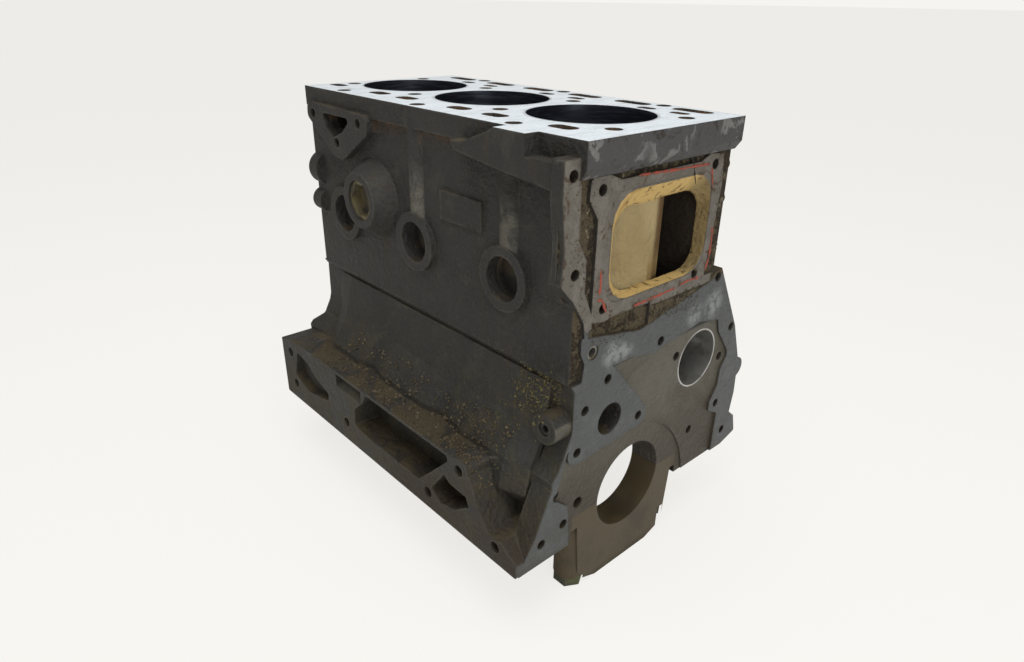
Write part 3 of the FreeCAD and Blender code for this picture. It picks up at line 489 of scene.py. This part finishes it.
# Bearing caps: separate iron castings with machined sides, one below each web of the crankcase.
# Each is held by two bolts and bored in line with the block; old oil has stained them brown.
cap_iron = Finish("cap_iron", paint(68, 58, 39), 0.5, 0.05)
cap_iron.shader.inputs["Specular IOR Level"].default_value = 0.3
cap_iron.height = cap_iron.noise(260, 5, 0.65) * 0.5
cap_iron.lay(cap_iron.step(cap_iron.noise(24, 5), 0.48, 0.7), paint(54, 46, 32))
# darker in the hollows and where the cap meets the block and bolts: painted shade
cap_iron.lay(cap_iron.step(cap_iron.hollows(0.01), 0.3, 0.7), paint(44, 38, 28), 0.8)
dress([name for name in nodes if name.startswith("main_bearing_cap")], cap_iron.done(round_edges=0.0012))


# Cap bolts and ring thimbles: the bolts are forged and blackened steel, screwed up into the webs.
# The thimbles are short steel rings round them that set each cap in its place; all wear dirty oil.
steel = Finish("blackened_steel", paint(62, 58, 48), 0.42, 0.5)
steel.lay(steel.step(steel.noise(60, 4), 0.5, 0.65), paint(74, 78, 40), 0.8, 0.0)
steel.height = steel.noise(200, 4) * 0.4
dress([name for name in nodes if name.startswith("cap_")], steel.done(round_edges=0.0008))


# Cylinder liners: thin dry sleeves of spun iron, pressed into the barrels down to their feet.
# Their bores are honed and darkened by running, and the rims are milled with the head face; the rims are
# painted as bright as it, painted highlight included.
liner_iron = Finish("honed_liner", paint(40, 42, 50), 0.3, 0.7)
hone = liner_iron.noise(40, 3, along=liner_iron.stretched((1, 1, 14)))
liner_iron.lay(liner_iron.step(hone, 0.45, 0.65), paint(56, 60, 70), 0.36)
# the rims are painted near white: milled metal plus a painted highlight
rim = liner_iron.step(liner_iron.z, deck - 0.0006, deck - 0.0002) \
    * liner_iron.step(liner_iron.facing_z, 0.5, 0.9)
liner_iron.lay(rim, paint(196, 202, 208), 0.3, 0.5)
dress([name for name in nodes if name.startswith("cylinder_liner")], liner_iron.done())


# Camshaft bushes: steel rings lined with white metal, pressed into the four lands of the tunnel.
# A pressed steel disc closes the tunnel behind the rear one.
bush_metal = Finish("bush_metal", paint(168, 168, 164), 0.3, 0.8)
bush_metal.lay(bush_metal.step(bush_metal.noise(50, 4), 0.5, 0.7), paint(120, 116, 106), 0.45)
dress([name for name in nodes if name.startswith("camshaft_")], bush_metal.done(round_edges=0.0003))


# Core plugs and gallery plug: pressed steel cups, driven in below the face of their bosses, and a
# small screwed plug at the end of the oil gallery.  All are blackened with the casting round them.
cup_steel = Finish("oily_cup_steel", paint(46, 44, 40), 0.55, 0.2)
cup_steel.lay(cup_steel.step(cup_steel.noise(45, 5), 0.5, 0.65), paint(66, 56, 42), 0.85, 0.0)
cup_steel.height = cup_steel.noise(160, 4) * 0.6
dress(["core_plug_1", "core_plug_2", "core_plug_3", "oil_gallery_plug"],
      cup_steel.done(round_edges=0.0008))


# Port plug: a plug with a hexagon socket, screwed into the tall conical boss of the plug side.
# Its plating has aged to a dull brass colour under the oil.
brass = Finish("aged_brass", paint(104, 96, 70), 0.5, 0.4)
brass.lay(brass.step(brass.noise(60, 5), 0.45, 0.62), paint(62, 56, 46), 0.7, 0.1)
dress(["port_plug"], brass.done(round_edges=0.0008))


# Timing cover dowel: a hollow ring of ground steel, pressed into the timing face round a screw hole.
# It sets the timing cover in its place.
ring_steel = Finish("ground_steel", paint(120, 118, 112), 0.35, 0.7)
ring_steel.lay(ring_steel.step(ring_steel.noise(90, 4), 0.5, 0.62), paint(78, 68, 52), 0.6, 0.2)
dress(["timing_cover_dowel"], ring_steel.done(round_edges=0.0004))


# Sealant: thin beads of red silicone compound, squeezed out round the pump flange.
# They cured on the flange, and tore when the pump was taken off.
def bead(shape, path, radius, unevenness, dice, flatness=0.6):
    """A rounded string laid along points on the timing face."""
    sides, spacing, tip = 6, 0.0025, 0.35
    points = []
    for start, end in zip(path, path[1:]):
        start, end = Vector(start), Vector(end)
        pieces = max(1, round((end - start).length / spacing))
        points += [start.lerp(end, i / pieces) for i in range(pieces)]
    points.append(Vector(path[-1]))
    last = len(points) - 1
    ring = bmesh.ops.create_circle(shape, cap_ends=True, segments=sides, radius=1)["verts"]
    cap = ring[0].link_faces[0]
    for i, point in enumerate(points):
        ahead = (points[min(i + 1, last)] - points[max(i - 1, 0)]).normalized()
        across = ahead.cross(Vector((1, 0, 0))).normalized()
        width = radius * (1 + dice.uniform(-unevenness, unevenness))
        if i in (0, last):
            width *= tip
        if i > 0:
            grown = bmesh.ops.extrude_face_region(shape, geom=[cap])["geom"]
            cap = next(item for item in grown if isinstance(item, bmesh.types.BMFace))
        for k, vert in enumerate(cap.verts):
            turn = 2 * math.pi * k / sides
            outwards = Vector((math.sin(turn) * width * flatness, 0, 0))
            vert.co = point + across * (math.cos(turn) * width) + outwards


def strings_on_face(name, paths, material, radius, unevenness, dice, flatness=0.6):
    """Beads along paths of (y, z) points on the timing face, joined in one piece."""
    proud = 0.0001
    shape = bmesh.new()
    for path in paths:
        bead(shape, [(proud, y, z) for y, z in path], radius, unevenness, dice, flatness)
    bmesh.ops.recalc_face_normals(shape, faces=shape.faces)
    piece = solid_from(shape, name)
    piece.data.materials.append(material)
    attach(piece, "root")


sealant = Finish("red_sealant", paint(138, 58, 40), 0.7)
sealant.height = sealant.noise(700, 3) * 0.6
sealant.lay(sealant.step(sealant.noise(160, 4), 0.5, 0.62), paint(96, 56, 44), 0.8)
dice = random.Random(11)
strings_on_face("sealant_beads", [
    [(-0.030, 0.2872), (-0.006, 0.2862), (0.018, 0.2850), (0.040, 0.2846), (0.060, 0.2836)],
    [(0.0635, 0.2800), (0.0665, 0.2700), (0.0675, 0.2640)],
    [(0.0762, 0.2290), (0.0780, 0.2140), (0.0775, 0.2010), (0.0740, 0.1905)],
    [(0.0660, 0.1860), (0.0502, 0.1870), (0.0400, 0.1858)],
    [(0.0330, 0.1850), (0.0131, 0.1842), (-0.0060, 0.1838), (-0.0219, 0.1835)],
    [(-0.0640, 0.2240), (-0.0632, 0.2100), (-0.0640, 0.2040)],
    [(-0.0655, 0.2000), (-0.0600, 0.1990), (-0.0545, 0.1870)]
], sealant.done(), radius=0.0010, unevenness=0.45, dice=dice)


# Cracks: two splits in the crust of paint and scale, one across the deck's front and one below the
# pump flange.  They are dark and a hair wide.
crack_finish = Finish("open_crack", paint(20, 17, 14), 0.95)
crack_finish.height = crack_finish.noise(900, 2) * 0.5
strings_on_face("surface_cracks", [
    [(0.030, 0.2995), (0.0335, 0.2930), (0.0372, 0.2865), (0.0400, 0.2790), (0.0428, 0.2700)],
    [(-0.0210, 0.1850), (-0.0216, 0.1800), (-0.0203, 0.1765)]
], crack_finish.done(), radius=0.0007, unevenness=0.5, dice=dice, flatness=0.3)


# Soil and moss: dry crumbs of earth, grease and moss.  They lie on the ledges of the rail and cling
# to the rough walls beside the flanges and round the gallery boss.
surface = BVHTree.FromObject(casting, bpy.context.evaluated_depsgraph_get())


def crumbs(name, material, patches, seed):
    """Small lumps stuck where rays from one side meet the casting.

    A patch is the way the rays go, the two corners of the box they start from, how many there are,
    and the smallest and largest radius."""
    reach, sunk, room_for_tilt = 0.5, 0.15, 1.4
    luck = random.Random(seed)
    heap = bmesh.new()
    for direction, low, high, count, smallest, largest in patches:
        for _ in range(count):
            start = Vector([luck.uniform(a, b) for a, b in zip(low, high)])
            spot, normal, _, _ = surface.ray_cast(start, Vector(direction), reach)
            size = smallest + (largest - smallest) * luck.random() ** 2.5
            margin = size * room_for_tilt
            if spot is None or any(place - margin < least or place + margin > most
                                   for place, least, most in zip(spot, *cad_box)):
                continue
            tilt = Matrix.Rotation(luck.uniform(0, 6.28), 4, Vector([luck.uniform(-1, 1) for _ in range(3)]))
            lump = Matrix.Diagonal((luck.uniform(0.6, 1.2), luck.uniform(0.6, 1.2), luck.uniform(0.4, 0.8), 1))
            seat = Matrix.Translation(spot + normal * size * sunk)
            bmesh.ops.create_icosphere(heap, subdivisions=1, radius=size, matrix=seat @ tilt @ lump)
    piece = solid_from(heap, name)
    piece.data.materials.append(material)
    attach(piece, "root")


down, backwards, across = (0, 0, -1), (-1, 0, 0), (0, 1, 0)
soil = Finish("dry_soil", paint(72, 62, 45), 0.95)
soil.lay(soil.step(soil.noise(90, 3), 0.45, 0.6), paint(56, 47, 33))
soil.lay(soil.step(soil.noise(300, 3), 0.55, 0.65), paint(96, 87, 67))
soil.height = soil.noise(1500, 3) * 0.5
crumbs("soil_crumbs", soil.done(), [
    (down, (-0.300, -0.138, 0.10), (-0.050, -0.100, 0.10), 1000, 0.0005, 0.0023),
    (down, (-0.370, -0.135, 0.12), (-0.300, -0.095, 0.12), 150, 0.0004, 0.0012),
    (across, (-0.240, -0.30, -0.010), (-0.060, -0.30, 0.050), 500, 0.0003, 0.0010),
    (backwards, (0.05, -0.068, 0.160), (0.05, 0.070, 0.180), 420, 0.0003, 0.0011),
    (backwards, (0.05, -0.095, 0.165), (0.05, -0.072, 0.300), 260, 0.0003, 0.0009),
    (backwards, (0.05, 0.076, 0.190), (0.05, 0.093, 0.300), 160, 0.0003, 0.0009)], seed=3)
moss = Finish("dry_moss", paint(94, 86, 54), 0.95)
moss.lay(moss.step(moss.noise(120, 3), 0.45, 0.6), paint(66, 59, 38))
moss.height = moss.noise(1500, 3) * 0.5
crumbs("moss_crumbs", moss.done(), [
    (across, (-0.058, -0.30, 0.096), (-0.014, -0.30, 0.134), 420, 0.0004, 0.0016),
    (across, (-0.110, -0.30, 0.040), (-0.014, -0.30, 0.150), 260, 0.0003, 0.0008),
    (across, (-0.200, -0.30, 0.020), (-0.060, -0.30, 0.110), 160, 0.0002, 0.0006),
    (across, (-0.060, -0.30, -0.080), (-0.010, -0.30, -0.030), 160, 0.0003, 0.0008),
    (down, (-0.110, -0.140, 0.10), (-0.045, -0.095, 0.10), 160, 0.0004, 0.0011)], seed=5)


# Floor: a plain pale sheet of paper that runs out of sight behind the block, a hair below it.
# It shows the pale ground to the camera and keeps the block's soft shadow.
low = cad_box[0][2]
floor_gap, floor_half, shown_by_itself = 0.0005, 300, 0.86
sheet = bmesh.new()
bmesh.ops.create_grid(sheet, x_segments=1, y_segments=1, size=floor_half)
bmesh.ops.translate(sheet, verts=sheet.verts, vec=(0, 0, low - floor_gap))
floor = solid_from(sheet, "floor")
pale = paint(246, 244, 240)
paper = Finish("pale_floor", pale, 0.9)
rays = paper.node("ShaderNodeLightPath")
glow = paper.node("ShaderNodeEmission", {}, {"Color": pale, "Strength": 1.0})
seen = Number(paper, rays.outputs["Is Camera Ray"]) * shown_by_itself
kept = paper.node("ShaderNodeMixShader", {}, {0: seen, 1: paper.shader.outputs[0], 2: glow.outputs[0]})
paper.done()
paper.tree.links.new(kept.outputs[0], paper.tree.nodes["Material Output"].inputs["Surface"])
floor.data.materials.append(paper.material)


# Studio: an even pale room, one large soft light above and a weaker one from the timing end.
# The room is twice as bright to the camera as to the block, so that the backdrop matches the floor.
scene = bpy.context.scene
scene.view_settings.view_transform = "Standard"
world = bpy.data.worlds.new("studio")
world.use_nodes = True
scene.world = world
room = world.node_tree
backdrop = room.nodes["Background"]
backdrop.inputs["Color"].default_value = pale
light_path = add_node(room, "ShaderNodeLightPath")
level = add_node(room, "ShaderNodeMix", {}, {0: light_path.outputs["Is Camera Ray"], 2: 0.5, 3: 1.0})
room.links.new(level.outputs[0], backdrop.inputs["Strength"])


def soft_light(name, place, target, size, power):
    """A round soft lamp of so many watts, turned to its target."""
    lamp = bpy.data.lights.new(name, "AREA")
    lamp.shape = "DISK"
    lamp.size = size
    lamp.energy = power
    body = bpy.data.objects.new(name, lamp)
    scene.collection.objects.link(body)
    body.location = place
    body.rotation_euler = (target - place).to_track_quat("-Z", "Y").to_euler()


middle = (Vector(cad_box[0]) + Vector(cad_box[1])) / 2
soft_light("overhead_light", middle + Vector((0.3, -0.3, 1.5)), middle, size=1.4, power=22)
soft_light("timing_end_light", middle + Vector((1.6, -0.6, 0.5)), middle, size=1.0, power=10)


# Camera: stands off the timing end's corner, above the head face, and looks down on the block.
# Its lens takes in the whole block with some room round it.
camera_place, heading, dip, roll = (0.30595, -0.43058, 0.39860), 47.48, 25.42, 1.01
camera_data = bpy.data.cameras.new("camera")
camera_data.lens = 24.49
camera_data.sensor_width = 36
camera_data.clip_start = 0.01
camera = bpy.data.objects.new("camera", camera_data)
scene.collection.objects.link(camera)
camera.matrix_world = (Matrix.Translation(camera_place)
                       @ Matrix.Rotation(math.radians(heading), 4, "Z")
                       @ Matrix.Rotation(math.radians(90 - dip), 4, "X")
                       @ Matrix.Rotation(math.radians(roll), 4, "Z"))
scene.camera = camera
